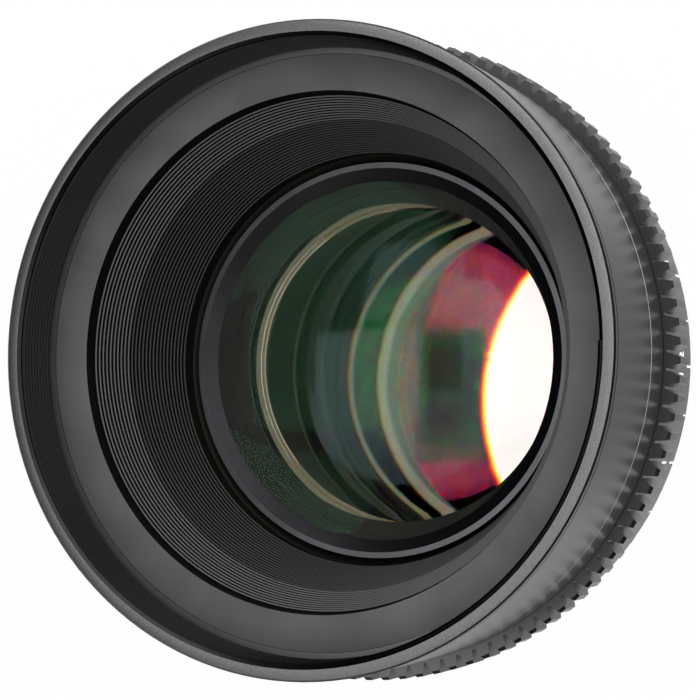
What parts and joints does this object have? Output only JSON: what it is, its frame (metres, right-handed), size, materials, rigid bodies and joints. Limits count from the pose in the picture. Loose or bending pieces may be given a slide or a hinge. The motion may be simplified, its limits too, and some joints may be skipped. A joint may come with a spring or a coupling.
{
  "type": "prime lens",
  "caption": "Manual prime lens with toothed focus and iris drive rings, a ribbed front baffle, coated glass, a working helical cam, a bladed iris and a bayonet mount.",
  "frame": {"origin": "on the optical axis, at the rear end of the bayonet spigot that the lens stands on", "axes": "+Z along the optical axis towards the front rim, +X along one bayonet lug"},
  "size_m": [0.0904, 0.0904, 0.0895],
  "materials": {
    "barrel_anodised": "fine-blasted dark anodised",
    "index_anodised": "fine-blasted dark anodised",
    "rear_barrel_anodised": "fine-blasted dark anodised",
    "name_ring_anodised": "matt grey anodised",
    "baffle_black": "dead-matt black",
    "guard_black": "dead-matt black",
    "guide_anodised": "matt black anodised",
    "cam_anodised": "hard anodised",
    "focus_ring_anodised": "dark anodised, turned ends",
    "iris_ring_anodised": "dark anodised, turned ends",
    "retainer_black": "satin black anodised",
    "cell_black": "matt black anodised",
    "iris_plate_black": "matt black anodised",
    "blade_black": "black-coated spring steel",
    "fork_brass": "turned brass",
    "mount_steel": "turned stainless",
    "screw_steel": "blackened steel",
    "front_glass": "coated optical glass",
    "inner_glass": "coated optical glass",
    "rear_glass": "coated optical glass"
  },
  "bodies": {
    "fixed_barrel": {"front_barrel": "barrel_anodised", "name_ring": "name_ring_anodised", "ribbed_baffle": "baffle_black", "guide_sleeve": "guide_anodised", "guide_screws": "screw_steel", "cam_retaining_ring": "guide_anodised", "index_ring": "index_anodised", "rear_barrel": "rear_barrel_anodised", "grub_screws": "screw_steel", "bayonet_mount": "mount_steel", "mount_screws": "screw_steel", "rear_light_guard": "guard_black"},
    "focus_group": {"focus_ring": "focus_ring_anodised", "focus_cam": "cam_anodised", "focus_drive_screws": "screw_steel"},
    "optical_unit": {"front_retainer": "retainer_black", "front_cell": "cell_black", "front_element": "front_glass", "second_element": "inner_glass", "third_element": "inner_glass", "doublet_nut": "cell_black", "iris_base_plate": "iris_plate_black", "rear_cell": "cell_black", "fourth_element": "inner_glass", "fifth_element": "inner_glass", "doublet_spacer": "cell_black", "sixth_element": "inner_glass", "air_spacer": "cell_black", "rear_element": "rear_glass", "rear_retainer": "cell_black", "cam_rollers": "fork_brass", "roller_screws": "screw_steel"},
    "iris_group": {"iris_ring": "iris_ring_anodised", "iris_fork": "fork_brass", "fork_screws": "screw_steel"},
    "iris_actuator": {"iris_actuator": "iris_plate_black"},
    "iris_blade_1": {"iris_blade_1": "blade_black"},
    "iris_blade_2": {"iris_blade_2": "blade_black"},
    "iris_blade_3": {"iris_blade_3": "blade_black"},
    "iris_blade_4": {"iris_blade_4": "blade_black"},
    "iris_blade_5": {"iris_blade_5": "blade_black"},
    "iris_blade_6": {"iris_blade_6": "blade_black"},
    "iris_blade_7": {"iris_blade_7": "blade_black"},
    "iris_blade_8": {"iris_blade_8": "blade_black"}
  },
  "joints": [
    {"name": "focus_turn", "type": "hinge", "parent": "fixed_barrel", "child": "focus_group", "pos_m": [0, 0, 0.0575], "axis": [0, 0, 1], "range_deg": [0, 150]},
    {"name": "optics_slide", "type": "slide", "parent": "fixed_barrel", "child": "optical_unit", "axis": [0, 0, 1], "range_m": [0, 0.007]},
    {"name": "iris_turn", "type": "hinge", "parent": "fixed_barrel", "child": "iris_group", "pos_m": [0, 0, 0.0355], "axis": [0, 0, 1], "range_deg": [0, 60]},
    {"name": "actuator_turn", "type": "hinge", "parent": "optical_unit", "child": "iris_actuator", "pos_m": [0, 0, 0.0355], "axis": [0, 0, 1], "range_deg": [0, 60]},
    {"name": "blade_1_swing", "type": "hinge", "parent": "optical_unit", "child": "iris_blade_1", "pos_m": [0.0225, 0, 0.0335], "axis": [0, 0, 1], "range_deg": [0, 36]},
    {"name": "blade_2_swing", "type": "hinge", "parent": "optical_unit", "child": "iris_blade_2", "pos_m": [0.01591, 0.01591, 0.0335], "axis": [0, 0, 1], "range_deg": [0, 36]},
    {"name": "blade_3_swing", "type": "hinge", "parent": "optical_unit", "child": "iris_blade_3", "pos_m": [0, 0.0225, 0.0335], "axis": [0, 0, 1], "range_deg": [0, 36]},
    {"name": "blade_4_swing", "type": "hinge", "parent": "optical_unit", "child": "iris_blade_4", "pos_m": [-0.01591, 0.01591, 0.0335], "axis": [0, 0, 1], "range_deg": [0, 36]},
    {"name": "blade_5_swing", "type": "hinge", "parent": "optical_unit", "child": "iris_blade_5", "pos_m": [-0.0225, 0, 0.0335], "axis": [0, 0, 1], "range_deg": [0, 36]},
    {"name": "blade_6_swing", "type": "hinge", "parent": "optical_unit", "child": "iris_blade_6", "pos_m": [-0.01591, -0.01591, 0.0335], "axis": [0, 0, 1], "range_deg": [0, 36]},
    {"name": "blade_7_swing", "type": "hinge", "parent": "optical_unit", "child": "iris_blade_7", "pos_m": [0, -0.0225, 0.0335], "axis": [0, 0, 1], "range_deg": [0, 36]},
    {"name": "blade_8_swing", "type": "hinge", "parent": "optical_unit", "child": "iris_blade_8", "pos_m": [0.01591, -0.01591, 0.0335], "axis": [0, 0, 1], "range_deg": [0, 36]}
  ],
  "couplings": [
    {"joint": "optics_slide", "follows": "focus_turn", "m_per_rad": 0.0026738},
    {"joint": "actuator_turn", "follows": "iris_turn", "ratio": 1},
    {"joint": "blade_1_swing", "follows": "iris_turn", "ratio": 0.6},
    {"joint": "blade_2_swing", "follows": "iris_turn", "ratio": 0.6},
    {"joint": "blade_3_swing", "follows": "iris_turn", "ratio": 0.6},
    {"joint": "blade_4_swing", "follows": "iris_turn", "ratio": 0.6},
    {"joint": "blade_5_swing", "follows": "iris_turn", "ratio": 0.6},
    {"joint": "blade_6_swing", "follows": "iris_turn", "ratio": 0.6},
    {"joint": "blade_7_swing", "follows": "iris_turn", "ratio": 0.6},
    {"joint": "blade_8_swing", "follows": "iris_turn", "ratio": 0.6}
  ]
}
